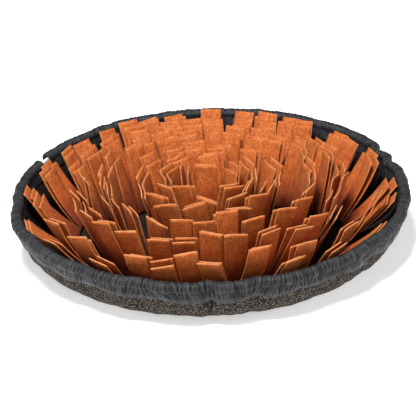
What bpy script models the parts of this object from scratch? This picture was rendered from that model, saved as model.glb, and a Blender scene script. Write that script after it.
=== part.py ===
"""Snuffle mat: a round cloth mat drawn up into a shallow bowl, with slit felt sewn inside it.

Two cloths lie one in the other, a coarse underside and a plain lining. A sleeve folds over their gathered
edge and holds a drawstring, which shows where the sleeve's two ends don't meet. Rings of felt stand on the
lining. Each is one band, folded in two along its foot, and its two layers are slit into strips.
Metres, +Z up. The origin is the middle of the underside, the front is towards -Y, and azimuths are in
degrees from +X towards +Y.
"""

import math
import random

import bmesh
import bpy
from mathutils import Matrix, Vector
from mathutils.bvhtree import BVHTree

# The cloths, from the outside in
UNDERSIDE_THICK = 0.0020
LINING_THICK = 0.0015
GAP = 0.0003

# The bowl's outer face: a flat floor, a turned-up foot and a straight band under the rim
FLOOR_RADIUS = 0.1455
RIM_BAND = 0.026
RIM_SLOPE = 75.0
FOOT_REACH = 0.022
SHOULDER_REACH = 0.014
FOOT_STEPS = 4
SEGMENTS = 72

# The sleeve, measured along the wall from the cloths' top edge
SLEEVE_THICK = 0.0013
SLEEVE_INNER_DROP = 0.0105
SLEEVE_WAVE = 0.0017
WAVES_ROUND = 9
WAVE_STARTS = 0.6
SWELLS_ROUND = 4
POCKET_RADIUS = 0.0036
POCKET_RISE = 0.0032
POCKET_STEPS = 5
TUBE_STEPS = 6
PUFF = 0.0007
PUFFS_ROUND = 21
SLEEVE_GAP_AZIMUTH = 153.0
SLEEVE_GAP_WIDTH = 0.009

# The drawstring, which lies on the cloths' edge inside the sleeve
CORD_RADIUS = 0.0022
CORD_SIDES = 6

# The felt: bands folded in two along their foot and slit into strips
BAND_FOOT = UNDERSIDE_THICK + GAP + LINING_THICK + GAP
BAND_HEIGHT = 0.005
FELT_THICK = 0.0013
LAYER_SPACING = 0.0040
STRIP_WIDTH = 0.0225
STRIP_STEPS = 3
INNER_SHORTER = 0.004
LENGTH_SPREAD = 0.0025
CLEARANCE = 0.0004

# How far strips stray, in degrees. Where the lean that parts a pair's layers is under 0, their tips close up
PARTING = (-0.8, 2.4)
SHINGLE_LEAN = 2.5
LEAST_LEAN = 1.0
LEAN_SPREAD = 3.2
SWAY_WAVE = 8.0
SWAY_SPREAD = 4.5
TWIST_SPREAD = 20.0
PAIR_SPREAD = 2.5
STRIPS_IN_WAVE = 5.0
RETREAT = 10.0
TRIES = 60
STEP_BACK = 3
SEED = 13

SHARP_ANGLE = 40.0

RIM_STATIONS = (
    # azimuth, radius of the underside's top edge, its height, how far down the sleeve's outer leg reaches
    (0, 0.2025, 0.054, 0.0155),
    (30, 0.2010, 0.056, 0.0135),
    (60, 0.1995, 0.056, 0.0130),
    (90, 0.1985, 0.056, 0.0130),
    (120, 0.1990, 0.056, 0.0130),
    (150, 0.1985, 0.055, 0.0135),
    (175, 0.1995, 0.053, 0.0135),
    (200, 0.2045, 0.050, 0.0130),
    (240, 0.2010, 0.047, 0.0115),
    (270, 0.1995, 0.046, 0.0130),
    (300, 0.2005, 0.0462, 0.0120),
    (325, 0.2040, 0.0495, 0.0150),
    (345, 0.2060, 0.052, 0.0165),
)

FOLDS = (
    # azimuth, half width in degrees, depth at the rim
    (13.5, 4.6, 0.0055),
    (21.5, 4.6, 0.0060),
    (52.0, 7.0, 0.0018),
    (80.0, 7.5, 0.0014),
    (108.0, 7.0, 0.0016),
    (132.0, 7.0, 0.0018),
    (158.0, 6.0, 0.0024),
    (184.0, 7.0, 0.0022),
    (207.0, 7.0, 0.0024),
    (230.0, 6.5, 0.0026),
    (249.0, 6.0, 0.0024),
    (270.0, 5.5, 0.0042),
    (286.0, 6.0, 0.0024),
    (304.0, 6.5, 0.0028),
    (321.0, 6.5, 0.0024),
    (346.0, 7.0, 0.0020),
)

ROWS = (
    # row, radius of its inner layer, pairs of strips, first azimuth, strip length, bend from foot to tip
    (1, 0.0200, 5, 18.0, 0.069, 6.0),
    (2, 0.0380, 10, 5.0, 0.070, 8.0),
    (3, 0.0560, 15, 0.0, 0.070, 8.0),
    (4, 0.0930, 25, 7.0, 0.071, 4.0),
    (5, 0.1150, 31, 3.0, 0.071, -4.0),
    (6, 0.1385, 37, 1.0, 0.072, -20.0),
)

LEANS = (
    # azimuth, for rows 1 to 6 the lean outward from upright at the middle of a strip, and how far every other
    # pair of the outermost row lies down past that lean, while the pairs between stand up by as much
    (0, (3, 5, 9, 8, 14, 42), 14),
    (45, (5, 9, 14, 19, 28, 41), 6),
    (90, (5, 10, 17, 23, 30, 37), 4),
    (135, (5, 9, 14, 21, 29, 41), 6),
    (180, (3, 5, 9, 7, 14, 43), 14),
    (215, (8, 9, 12, 15, 26, 41), 7),
    (245, (11, 11, 13, 15, 22, 34), 5),
    (270, (14, 13, 12, 11, 16, 27), 3),
    (295, (11, 11, 13, 15, 22, 34), 5),
    (325, (8, 9, 13, 16, 27, 42), 7),
)

COLOURS = (
    # object name's start, colour, roughness
    ("underside", (0.075, 0.066, 0.059), 0.95),
    ("lining", (0.016, 0.016, 0.018), 0.90),
    ("rim_sleeve", (0.044, 0.045, 0.049), 0.60),
    ("drawstring", (0.540, 0.525, 0.510), 0.80),
    ("felt", (0.500, 0.150, 0.040), 0.95),
)


def clear_scene():
    for obj in list(bpy.data.objects):
        bpy.data.objects.remove(obj)


def outward(azimuth):
    angle = math.radians(azimuth)
    return Vector((math.cos(angle), math.sin(angle), 0.0))


def turn(azimuth, other):
    """Signed difference of two azimuths, from -180 to 180."""
    return (azimuth - other + 180.0) % 360.0 - 180.0


def around(table, azimuth):
    """The two rows of a table that an azimuth lies between, and its eased share of the way."""
    azimuth = azimuth % 360.0
    rows = list(table) + [(table[0][0] + 360.0,) + tuple(table[0][1:])]
    for low, high in zip(rows, rows[1:]):
        if low[0] <= azimuth <= high[0]:
            share = (azimuth - low[0]) / (high[0] - low[0])
            share = share * share * (3.0 - 2.0 * share)
            return low[1:], high[1:], share
    raise ValueError("the table doesn't go round")


def eased(low, high, share):
    return low + (high - low) * share


# The bowl


def sleeve_gap_half():
    """Half the angle of the sleeve's gap."""
    return math.degrees(SLEEVE_GAP_WIDTH / 2.0 / RIM_STATIONS[0][1])


def bowl_azimuths():
    """The azimuths that every ring of the bowl uses: even steps, with one on each fold and each sleeve end."""
    step = 360.0 / SEGMENTS
    azimuths = [step * k for k in range(SEGMENTS)]
    half = sleeve_gap_half()
    for azimuth in [fold[0] for fold in FOLDS] + [SLEEVE_GAP_AZIMUTH - half, SLEEVE_GAP_AZIMUTH + half]:
        nearest = min(azimuths, key=lambda other: abs(turn(other, azimuth)))
        if abs(turn(nearest, azimuth)) < step / 3.0:
            azimuths.remove(nearest)
        azimuths.append(azimuth)
    return sorted(azimuths)


def fold_depth(azimuth):
    depth = 0.0
    for middle, half_width, deepest in FOLDS:
        share = abs(turn(azimuth, middle)) / half_width
        if share < 1.0:
            depth += deepest * (0.5 + 0.5 * math.cos(math.pi * share))
    return depth


def wall_profile(azimuth):
    """(radius, height) and inward direction at each step, from the floor's edge to the top edge."""
    low, high, share = around(RIM_STATIONS, azimuth)
    radius = eased(low[0], high[0], share) - fold_depth(azimuth)
    height = eased(low[1], high[1], share)
    slope = math.radians(RIM_SLOPE)
    rising = Vector((math.cos(slope), math.sin(slope)))
    top = Vector((radius, height))
    band_foot = top - rising * RIM_BAND
    start = Vector((FLOOR_RADIUS, 0.0))
    control = (start, start + Vector((FOOT_REACH, 0.0)), band_foot - rising * SHOULDER_REACH, band_foot)
    steps = []
    for k in range(FOOT_STEPS + 1):
        t = k / FOOT_STEPS
        s = 1.0 - t
        point = control[0] * s**3 + control[1] * 3 * s * s * t + control[2] * 3 * s * t * t + control[3] * t**3
        along = (control[1] - control[0]) * s * s + (control[2] - control[1]) * 2 * s * t
        along += (control[3] - control[2]) * t * t
        along.normalize()
        steps.append((point, Vector((-along.y, along.x))))
    steps.append((top, Vector((-rising.y, rising.x))))
    return steps


def at(azimuth, point):
    """A (radius, height) pair turned to an azimuth."""
    return outward(azimuth) * point.x + Vector((0.0, 0.0, point.y))


def cloth_mesh(azimuths, face_in, thick):
    """A cloth of the bowl's shape, whose outer face lies face_in inside the bowl's outer face."""
    mesh = bmesh.new()
    sheets = []
    for depth in (face_in, face_in + thick):
        middle = mesh.verts.new((0.0, 0.0, depth))
        rings = []
        for azimuth in azimuths:
            steps = [point + inward * depth for point, inward in wall_profile(azimuth)]
            rings.append([mesh.verts.new(at(azimuth, point)) for point in steps])
        for ring, following in zip(rings, rings[1:] + rings[:1]):
            mesh.faces.new((middle, ring[0], following[0]))
            for k in range(len(ring) - 1):
                mesh.faces.new((ring[k], ring[k + 1], following[k + 1], following[k]))
        sheets.append(rings)
    outer, inner = sheets
    for k in range(len(azimuths)):
        after = (k + 1) % len(azimuths)
        mesh.faces.new((outer[k][-1], inner[k][-1], inner[after][-1], outer[after][-1]))
    bmesh.ops.recalc_face_normals(mesh, faces=mesh.faces)
    return mesh


# The rim


def stack_thick():
    """Both cloths and the gap between them."""
    return UNDERSIDE_THICK + GAP + LINING_THICK


def rim_frame(azimuth):
    """The top edge's outer corner, the direction up the wall and the inward direction, as (radius, height)."""
    top, inward = wall_profile(azimuth)[-1]
    return top, Vector((inward.y, -inward.x)), inward


def arc(middle, radius, start, end, steps):
    """(rise, depth) points on an arc, from the outer side over the top to the inner side."""
    points = []
    for k in range(steps + 1):
        angle = math.radians(start + (end - start) * k / steps)
        points.append(middle + Vector((math.sin(angle), -math.cos(angle))) * radius)
    return points


def sleeve_section(azimuth):
    """The sleeve's closed section as (rise, depth): the outer leg, the tube over the cord, the inner leg."""
    middle = Vector((POCKET_RISE, stack_thick() / 2.0))
    angle = math.radians(azimuth)
    wave = math.sin(WAVES_ROUND * angle + WAVE_STARTS) * math.cos(SWELLS_ROUND * angle)
    low, high, share = around(RIM_STATIONS, azimuth)
    drop = eased(low[2], high[2], share) + SLEEVE_WAVE * wave
    puff = PUFF * math.sin(PUFFS_ROUND * angle)
    leg_in = stack_thick() / 2.0 + GAP
    leg_out = leg_in + SLEEVE_THICK
    tube_radius = POCKET_RADIUS + SLEEVE_THICK + puff
    tube_start = -math.degrees(math.acos(leg_out / tube_radius))
    pocket_start = -math.degrees(math.acos(leg_in / POCKET_RADIUS))
    outside = [Vector((-drop, middle.y - leg_out))]
    outside += arc(middle, tube_radius, tube_start, 180.0 - tube_start, TUBE_STEPS)
    outside.append(Vector((-SLEEVE_INNER_DROP, middle.y + leg_out)))
    inside = [Vector((-SLEEVE_INNER_DROP, middle.y + leg_in))]
    inside += arc(middle, POCKET_RADIUS, 180.0 - pocket_start, pocket_start, POCKET_STEPS)
    inside.append(Vector((-drop, middle.y - leg_in)))
    return outside + inside


def on_rim(azimuth, section):
    """A (rise, depth) section placed on the rim at an azimuth."""
    top, up_wall, inward = rim_frame(azimuth)
    return [at(azimuth, top + up_wall * point.x + inward * point.y) for point in section]


def sleeve_mesh(azimuths):
    """The sleeve, open at its gap, where it has two flat ends."""
    half = sleeve_gap_half()
    first = SLEEVE_GAP_AZIMUTH + half
    run = sorted((azimuth - first) % 360.0 for azimuth in azimuths if abs(turn(azimuth, first)) > 1e-6)
    length = 360.0 - 2.0 * half
    stations = [first] + [first + step for step in run if step < length - 1e-6] + [first + length]
    mesh = bmesh.new()
    rings = []
    for azimuth in stations:
        rings.append([mesh.verts.new(point) for point in on_rim(azimuth, sleeve_section(azimuth))])
    bridge(mesh, rings)
    mesh.faces.new(rings[0])
    mesh.faces.new(rings[-1])
    bmesh.ops.recalc_face_normals(mesh, faces=mesh.faces)
    return mesh


def cord_mesh(azimuths):
    """The drawstring, a closed ring that lies on the cloths' top edge."""
    middle = Vector((GAP + CORD_RADIUS, stack_thick() / 2.0))
    section = arc(middle, CORD_RADIUS, 0.0, 360.0 * (CORD_SIDES - 1) / CORD_SIDES, CORD_SIDES - 1)
    mesh = bmesh.new()
    rings = [[mesh.verts.new(point) for point in on_rim(azimuth, section)] for azimuth in azimuths]
    bridge(mesh, rings + rings[:1])
    bmesh.ops.recalc_face_normals(mesh, faces=mesh.faces)
    return mesh


def bridge(mesh, rings):
    """Four-sided faces between each closed loop of points and the next."""
    for ring, following in zip(rings, rings[1:]):
        for k in range(len(ring)):
            after = (k + 1) % len(ring)
            mesh.faces.new((ring[k], ring[after], following[after], following[k]))


# The felt


class Row:
    """One felt band, folded in two along its foot, with a pair of strips on each flat face of its ring."""

    def __init__(self, number, radius, count, first, length, bend):
        self.number = number
        self.name = f"felt_row_{number}"
        self.radii = (radius, radius + LAYER_SPACING)
        self.count = count
        self.first = first
        self.lengths = (length - INNER_SHORTER, length)
        self.bend = bend

    def azimuth(self, k):
        """The middle of face number k."""
        return self.first + 360.0 * k / self.count

    def lean_at(self, azimuth, k):
        """The mean lean of pair number k, at an azimuth. Pairs lie and stand by turns."""
        low, high, share = around(LEANS, azimuth)
        stray = eased(low[1], high[1], share) if self.number == len(ROWS) else SHINGLE_LEAN
        return eased(low[0][self.number - 1], high[0][self.number - 1], share) + stray * (-1) ** k


def strip_sections(root, azimuth, length, foot_lean, tip_lean, sway, twist, grow=0.0):
    """Four corners at each step of a strip, from its root on the band to its tip.

    Leans go outward from upright, sway goes along the row, and twist turns the strip about its own length.
    """
    out = outward(azimuth)
    side = Vector((-out.y, out.x, 0.0))
    half_width = STRIP_WIDTH / 2.0 + grow
    half_thick = FELT_THICK / 2.0 + grow
    signs = ((-1, -1), (1, -1), (1, 1), (-1, 1))
    sections = [[root + side * half_width * w + out * half_thick * n for w, n in signs]]
    sway = math.radians(sway)
    point = root
    for step in range(1, STRIP_STEPS + 1):
        lean = math.radians(eased(foot_lean, tip_lean, (step - 0.5) / STRIP_STEPS))
        direction = out * math.sin(lean) + Vector((0.0, 0.0, math.cos(lean)))
        direction = direction * math.cos(sway) + side * math.sin(sway)
        point = point + direction * (length / STRIP_STEPS)
        across = (side - direction * side.dot(direction)).normalized()
        across = Matrix.Rotation(math.radians(twist * step / STRIP_STEPS), 3, direction) @ across
        normal = across.cross(direction)
        sections.append([point + across * half_width * w + normal * half_thick * n for w, n in signs])
    return sections


def strip_faces():
    """Corner numbers of a strip's triangles. Both broad faces are split the same way, so it keeps its thickness."""
    faces = []
    for low in range(0, 4 * STRIP_STEPS, 4):
        high = low + 4
        for k in range(4):
            after = (k + 1) % 4
            if k < 2:
                faces += [(low + k, low + after, high + after), (low + k, high + after, high + k)]
            else:
                faces += [(low + k, low + after, high + k), (low + after, high + after, high + k)]
    tip = 4 * STRIP_STEPS
    return faces + [(tip, tip + 1, tip + 2), (tip, tip + 2, tip + 3)]


def tree_of(sections):
    """A strip's corners and a search tree of its faces."""
    points = [corner for section in sections for corner in section]
    return points, BVHTree.FromPolygons(points, strip_faces())


def box_of(points):
    low = Vector([min(p[axis] for p in points) for axis in range(3)])
    high = Vector([max(p[axis] for p in points) for axis in range(3)])
    return low, high


def boxes_meet(one, other):
    return all(one[0][axis] <= other[1][axis] and other[0][axis] <= one[1][axis] for axis in range(3))


def is_clear(sections, standing, walls):
    """Does a slightly swollen strip miss the strips that stand already, and the cloths and bands?"""
    points, tree = tree_of(sections)
    box = box_of(points)
    for other_box, other in standing:
        if boxes_meet(box, other_box) and tree.overlap(other):
            return False
    return not any(tree.overlap(wall) for wall in walls)


def band_rings(row):
    """The folded band's section at each corner of its ring, from the inner face round the foot to the outer."""
    foot, floor, top = BAND_FOOT, BAND_FOOT + FELT_THICK, BAND_FOOT + BAND_HEIGHT
    inner, outer = row.radii
    section = ((inner, foot), (inner, top), (inner + FELT_THICK, top), (inner + FELT_THICK, floor))
    section += ((outer, floor), (outer, top), (outer + FELT_THICK, top), (outer + FELT_THICK, foot))
    half = 180.0 / row.count
    stretch = 1.0 / math.cos(math.radians(half))
    rings = []
    for k in range(row.count):
        direction = outward(row.azimuth(k) - half) * stretch
        rings.append([direction * apothem + Vector((0.0, 0.0, z)) for apothem, z in section])
    return rings


def band_tree(row):
    """A search tree of a band, as if it were solid between its layers."""
    rings = band_rings(row)
    shell = (0, 1, 6, 7)
    points = [ring[number] for ring in rings for number in shell]
    faces = []
    for k in range(row.count):
        here, after = 4 * k, 4 * ((k + 1) % row.count)
        faces += [(here + n, here + n + 1, after + n + 1, after + n) for n in range(3)]
    return BVHTree.FromPolygons(points, faces)


def draw_pair(row, k, phase, dice, calm):
    """One try at the two layers' strips on a face, straighter and more upright as calm goes from 0 to 1."""
    wild = 1.0 - calm
    azimuth = row.azimuth(k)
    lean = row.lean_at(azimuth, k) - RETREAT * calm
    lean += dice.uniform(-1, 1) * LEAN_SPREAD
    wave = math.sin(2.0 * math.pi * k / STRIPS_IN_WAVE + phase)
    sway = (SWAY_WAVE * wave + dice.uniform(-1, 1) * SWAY_SPREAD) * wild
    twist = dice.uniform(-1, 1) * TWIST_SPREAD * wild
    parting = dice.uniform(*PARTING)
    pair = []
    for layer in (0, 1):
        root = outward(azimuth) * (row.radii[layer] + FELT_THICK / 2.0)
        root.z = BAND_FOOT + BAND_HEIGHT
        own_lean = lean + (2 * layer - 1) * parting
        foot_lean = max(LEAST_LEAN, own_lean - row.bend / 2.0)
        own_sway = sway + dice.uniform(-1, 1) * PAIR_SPREAD * wild
        length = row.lengths[layer] + dice.uniform(-1, 1) * LENGTH_SPREAD
        pair.append((root, azimuth, length, foot_lean, own_lean + row.bend / 2.0, own_sway, twist))
    return pair


def find_pair(row, k, phase, standing, walls, dice):
    """A pair of strips, clear of all that stands already, calmer at each try, or None."""
    for attempt in range(TRIES):
        pair = draw_pair(row, k, phase, dice, attempt / (TRIES - 1))
        inner = entry(pair[0])
        if not is_clear(strip_sections(*pair[0], grow=CLEARANCE), standing, walls):
            continue
        if is_clear(strip_sections(*pair[1], grow=CLEARANCE), standing + [inner], walls):
            return pair
    return None


def entry(pose):
    """A strip as the search keeps it: its box and its tree."""
    points, tree = tree_of(strip_sections(*pose))
    return box_of(points), tree


def grow_row(row, standing, walls, dice):
    """A row's pairs of strips, each clear of all that stands already.

    A pair that finds no room has its last few neighbours taken away, and they are placed again with it.
    """
    phase = dice.uniform(0.0, 2.0 * math.pi)
    pairs = []
    before = len(standing)
    for attempt in range(TRIES):
        while len(pairs) < row.count:
            pair = find_pair(row, len(pairs), phase, standing, walls, dice)
            if pair is None:
                break
            standing.extend([entry(pose) for pose in pair])
            pairs.append(pair)
        if len(pairs) == row.count:
            return pairs
        keep = max(0, len(pairs) - STEP_BACK)
        del pairs[keep:]
        del standing[before + 2 * keep:]
    raise RuntimeError(f"no room for a strip of {row.name}")


def comb_mesh(row, pairs):
    """A folded band with its strips: a ring of flat faces, and two strips that rise from each."""
    mesh = bmesh.new()
    rings = [[mesh.verts.new(point) for point in ring] for ring in band_rings(row)]
    for k, pair in enumerate(pairs):
        here, after = rings[k], rings[(k + 1) % row.count]
        for pose, first in zip(pair, (0, 4)):
            corners = [mesh.verts.new(corner) for section in strip_sections(*pose) for corner in section]
            for face in strip_faces():
                mesh.faces.new([corners[number] for number in face])
            a, b, c, d = corners[:4]
            low_in, top_in, top_out, low_out = here[first:first + 4]
            next_low_in, next_top_in, next_top_out, next_low_out = after[first:first + 4]
            mesh.faces.new((low_in, a, top_in))
            mesh.faces.new((low_in, next_low_in, b, a))
            mesh.faces.new((next_low_in, next_top_in, b))
            mesh.faces.new((top_in, a, d, top_out))
            mesh.faces.new((b, next_top_in, next_top_out, c))
            mesh.faces.new((low_out, d, top_out))
            mesh.faces.new((low_out, next_low_out, c, d))
            mesh.faces.new((next_low_out, next_top_out, c))
        mesh.faces.new((here[3], here[4], after[4], after[3]))
        mesh.faces.new((here[0], here[7], after[7], after[0]))
    bmesh.ops.recalc_face_normals(mesh, faces=mesh.faces)
    return mesh


# Objects


def material_for(name):
    start, colour, roughness = next(row for row in COLOURS if name.startswith(row[0]))
    material = bpy.data.materials.get(start) or bpy.data.materials.new(start)
    material.use_nodes = True
    shader = material.node_tree.nodes["Principled BSDF"]
    shader.inputs["Base Color"].default_value = (*colour, 1.0)
    shader.inputs["Roughness"].default_value = roughness
    shader.inputs["Metallic"].default_value = 0.0
    material.diffuse_color = (*colour, 1.0)
    return material


def add_object(name, mesh, smooth):
    data = bpy.data.meshes.new(name)
    mesh.to_mesh(data)
    data.materials.append(material_for(name))
    if smooth:
        data.shade_smooth()
        data.set_sharp_from_angle(angle=math.radians(SHARP_ANGLE))
    obj = bpy.data.objects.new(name, data)
    bpy.context.scene.collection.objects.link(obj)
    return obj


def build():
    clear_scene()
    azimuths = bowl_azimuths()
    bowl = {
        "underside": cloth_mesh(azimuths, 0.0, UNDERSIDE_THICK),
        "lining": cloth_mesh(azimuths, UNDERSIDE_THICK + GAP, LINING_THICK),
        "rim_sleeve": sleeve_mesh(azimuths),
        "drawstring": cord_mesh(azimuths),
    }
    for name, mesh in bowl.items():
        add_object(name, mesh, smooth=True)
    walls = [BVHTree.FromBMesh(bowl["lining"]), BVHTree.FromBMesh(bowl["rim_sleeve"])]
    rows = [Row(*sizes) for sizes in ROWS]
    bands = {row.name: band_tree(row) for row in rows}
    dice = random.Random(SEED)
    standing = []
    for row in rows:
        others = [tree for name, tree in bands.items() if name != row.name]
        add_object(row.name, comb_mesh(row, grow_row(row, standing, walls + others, dice)), smooth=False)


build()
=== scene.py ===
import math

import bmesh
import bpy
import numpy as np
from mathutils import Matrix, Vector


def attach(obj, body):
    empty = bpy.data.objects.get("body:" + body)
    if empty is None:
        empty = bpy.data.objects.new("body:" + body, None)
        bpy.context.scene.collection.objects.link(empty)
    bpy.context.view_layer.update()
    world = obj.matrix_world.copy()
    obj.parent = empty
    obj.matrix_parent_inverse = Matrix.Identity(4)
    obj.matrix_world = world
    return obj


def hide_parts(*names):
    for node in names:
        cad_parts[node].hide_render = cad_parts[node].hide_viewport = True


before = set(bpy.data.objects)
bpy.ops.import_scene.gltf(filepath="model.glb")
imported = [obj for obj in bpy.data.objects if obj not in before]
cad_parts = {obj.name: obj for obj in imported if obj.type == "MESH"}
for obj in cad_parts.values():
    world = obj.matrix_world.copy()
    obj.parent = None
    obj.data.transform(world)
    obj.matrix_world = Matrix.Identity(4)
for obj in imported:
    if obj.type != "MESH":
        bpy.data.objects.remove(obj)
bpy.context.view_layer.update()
scene = bpy.context.scene

# ---- The floor, the light and the camera ----
# A wide pale floor that glows faintly under an even surround, one strong soft lamp above the mat and three
# weaker ones in front of it and at its sides. The camera looks down on the near edge from across a room.

scene.view_settings.view_transform = "Standard"

surround = bpy.data.worlds.new("surround")
scene.world = surround
surround.use_nodes = True
surround.node_tree.nodes["Background"].inputs["Color"].default_value = (1.0, 1.0, 1.0, 1.0)
surround.node_tree.nodes["Background"].inputs["Strength"].default_value = 0.15


def aimed(place, at):
    """The turn that points a lamp or a camera from its place at a point."""
    return (Vector(at) - Vector(place)).to_track_quat("-Z", "Y").to_matrix()


def soft_lamp(name, place, width, watts):
    """A square lamp that shines at the mat, its width in metres."""
    lamp = bpy.data.lights.new(name, "AREA")
    lamp.size = width
    lamp.energy = watts
    holder = bpy.data.objects.new(name, lamp)
    holder.location = place
    holder.rotation_euler = aimed(place, (0.0, 0.0, 0.03)).to_euler()
    scene.collection.objects.link(holder)


soft_lamp("top_lamp", (-0.25, -0.75, 1.85), 0.45, 66.0)
soft_lamp("front_lamp", (0.2, -1.9, 0.8), 0.9, 13.0)
soft_lamp("left_lamp", (-1.9, -0.5, 0.6), 0.9, 13.0)
soft_lamp("right_lamp", (1.9, -0.5, 0.6), 0.9, 13.0)


def add(tree, kind, inputs=None, **settings):
    """A node with its settings and inputs. An input given as a socket is linked, any other is set."""
    made = tree.nodes.new(kind)
    for name, value in settings.items():
        setattr(made, name, value)
    for name, value in (inputs or {}).items():
        if isinstance(value, bpy.types.NodeSocket):
            tree.links.new(value, made.inputs[name])
        else:
            made.inputs[name].default_value = value
    return made


def surface(name, roughness, **sockets):
    """A new material: itself, its tree and its shader, with the shader's plain numbers set."""
    material = bpy.data.materials.new(name)
    material.use_nodes = True
    tree = material.node_tree
    shader = tree.nodes["Principled BSDF"]
    shader.inputs["Roughness"].default_value = roughness
    for socket, value in sockets.items():
        shader.inputs[socket.replace("_", " ")].default_value = value
    return material, tree, shader


def put(name, mesh):
    """A mesh as an object at the origin."""
    thing = bpy.data.objects.new(name, mesh)
    scene.collection.objects.link(thing)
    return thing


floor_mesh = bpy.data.meshes.new("floor")
floor_mesh.from_pydata([(-4, -4, 0), (4, -4, 0), (4, 4, 0), (-4, 4, 0)], [], [(0, 1, 2, 3)])
floor = put("floor", floor_mesh)
floor_paint, floor_tree, floor_shader = surface("floor_paint", 0.9)
floor_speck = add(floor_tree, "ShaderNodeTexNoise", {"Scale": 3.0, "Detail": 2.0})
floor_tone = add(floor_tree, "ShaderNodeMapRange", {"Value": floor_speck.outputs["Fac"], "To Min": 0.93,
                                                    "To Max": 0.95})
floor_tree.links.new(floor_tone.outputs["Result"], floor_shader.inputs["Base Color"])
floor_shader.inputs["Emission Color"].default_value = (1.0, 1.0, 1.0, 1.0)
floor_shader.inputs["Emission Strength"].default_value = 0.42
floor_mesh.materials.append(floor_paint)

CAMERA_AWAY = 2.2
CAMERA_ABOVE = 27.0
CAMERA_ROLL = -2.3
CAMERA_LENS = 180.35
CAMERA_AIM = (-0.0016, 0.0, 0.0373)

eye = bpy.data.cameras.new("camera")
eye.lens = CAMERA_LENS
eye.sensor_width = 36.0
camera = bpy.data.objects.new("camera", eye)
above = math.radians(CAMERA_ABOVE)
camera.location = (0.0, -CAMERA_AWAY * math.cos(above), CAMERA_AWAY * math.sin(above))
rolled = aimed(camera.location, CAMERA_AIM) @ Matrix.Rotation(math.radians(CAMERA_ROLL), 3, "Z")
camera.rotation_euler = rolled.to_euler()
scene.collection.objects.link(camera)
scene.camera = camera

# ---- The underside ----
# One round piece of coarse melange cloth, 1.6 mm thick. Its middle lies flat, and its edge is drawn up and
# gathered into a low wall with soft folds. Its grain runs straight across the round cut.

UNDERSIDE_THICK = 0.0016
COLUMNS = 900

RIM = [
    # azimuth, radius of the top edge, its height, how far down the sleeve's hem reaches from it
    (0, 0.2025, 0.054, 0.0160), (30, 0.2010, 0.056, 0.0140), (60, 0.1995, 0.056, 0.0135),
    (90, 0.1985, 0.056, 0.0135), (120, 0.1990, 0.056, 0.0135), (150, 0.1985, 0.055, 0.0140),
    (175, 0.1995, 0.053, 0.0140), (200, 0.2045, 0.050, 0.0135), (240, 0.2010, 0.047, 0.0120),
    (270, 0.1995, 0.046, 0.0135), (300, 0.2005, 0.0462, 0.0125), (325, 0.2040, 0.0495, 0.0155),
    (345, 0.2060, 0.052, 0.0170),
]

FOLDS = [
    # azimuth at the rim, half width in degrees, depth at the rim, degrees that it slants down the wall
    (13.5, 4.6, 0.0055, 0.5), (21.5, 4.6, 0.0060, -0.5), (52.0, 7.0, 0.0018, 3.0), (80.0, 7.5, 0.0014, -2.0),
    (108.0, 7.0, 0.0016, 2.0), (132.0, 7.0, 0.0018, -3.0), (158.0, 6.0, 0.0024, 1.0),
    (184.0, 7.0, 0.0022, -2.5), (207.0, 7.0, 0.0024, 2.0), (230.0, 6.5, 0.0026, -2.0),
    (249.0, 6.0, 0.0030, 2.0), (268.6, 3.2, 0.0060, 0.6), (283.0, 5.0, 0.0048, -1.0),
    (304.0, 6.5, 0.0028, 2.5), (321.0, 6.5, 0.0024, -2.0), (346.0, 7.0, 0.0020, 2.0),
]

FLOOR_RADIUS = 0.1455
FOOT_REACH = 0.022
SHOULDER_REACH = 0.014
RIM_BAND = 0.026
RIM_SLOPE = math.radians(75.0)

# The share of the way up from which the sleeve covers the cloths, and the room gained per share below it
COVERED_FROM = 0.74
FREE_SLACK = 0.005


def on_circle(rows, azimuths):
    """A table's columns at any azimuths, eased from each row to the next and on round to the first."""
    stops = np.array(rows + [(rows[0][0] + 360.0,) + rows[0][1:]])
    turned = azimuths % 360.0
    after = np.searchsorted(stops[:, 0], turned, side="right").clip(1, len(stops) - 1)
    low, high = stops[after - 1], stops[after]
    share = (turned - low[:, 0]) / (high[:, 0] - low[:, 0])
    share = share * share * (3.0 - 2.0 * share)
    return [low[:, k] + (high[:, k] - low[:, k]) * share for k in range(1, stops.shape[1])]


def ripple(azimuths, waves, seed):
    """A smooth uneven wave that closes on itself, about -1 to 1, from a run of waves round the circle."""
    dice = np.random.default_rng(seed)
    total = np.zeros_like(azimuths)
    for count in range(waves[0], waves[1] + 1, max(1, (waves[1] - waves[0]) // 5)):
        total += dice.uniform(0.4, 1.0) * np.sin(np.radians(azimuths) * count + dice.uniform(0.0, 6.28))
    return total / 2.6


def fold_in(azimuths, up):
    """How far the folds draw the wall in, where up is 0 at the floor and 1 at the top edge."""
    depth = np.zeros_like(azimuths)
    for middle, half_width, deepest, slant in FOLDS:
        off = (azimuths - middle - slant * (1.0 - up) + 180.0) % 360.0 - 180.0
        inside = np.abs(off) < half_width
        depth += np.where(inside, deepest * (0.5 + 0.5 * np.cos(np.pi * off / half_width)), 0.0)
    return depth


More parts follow.
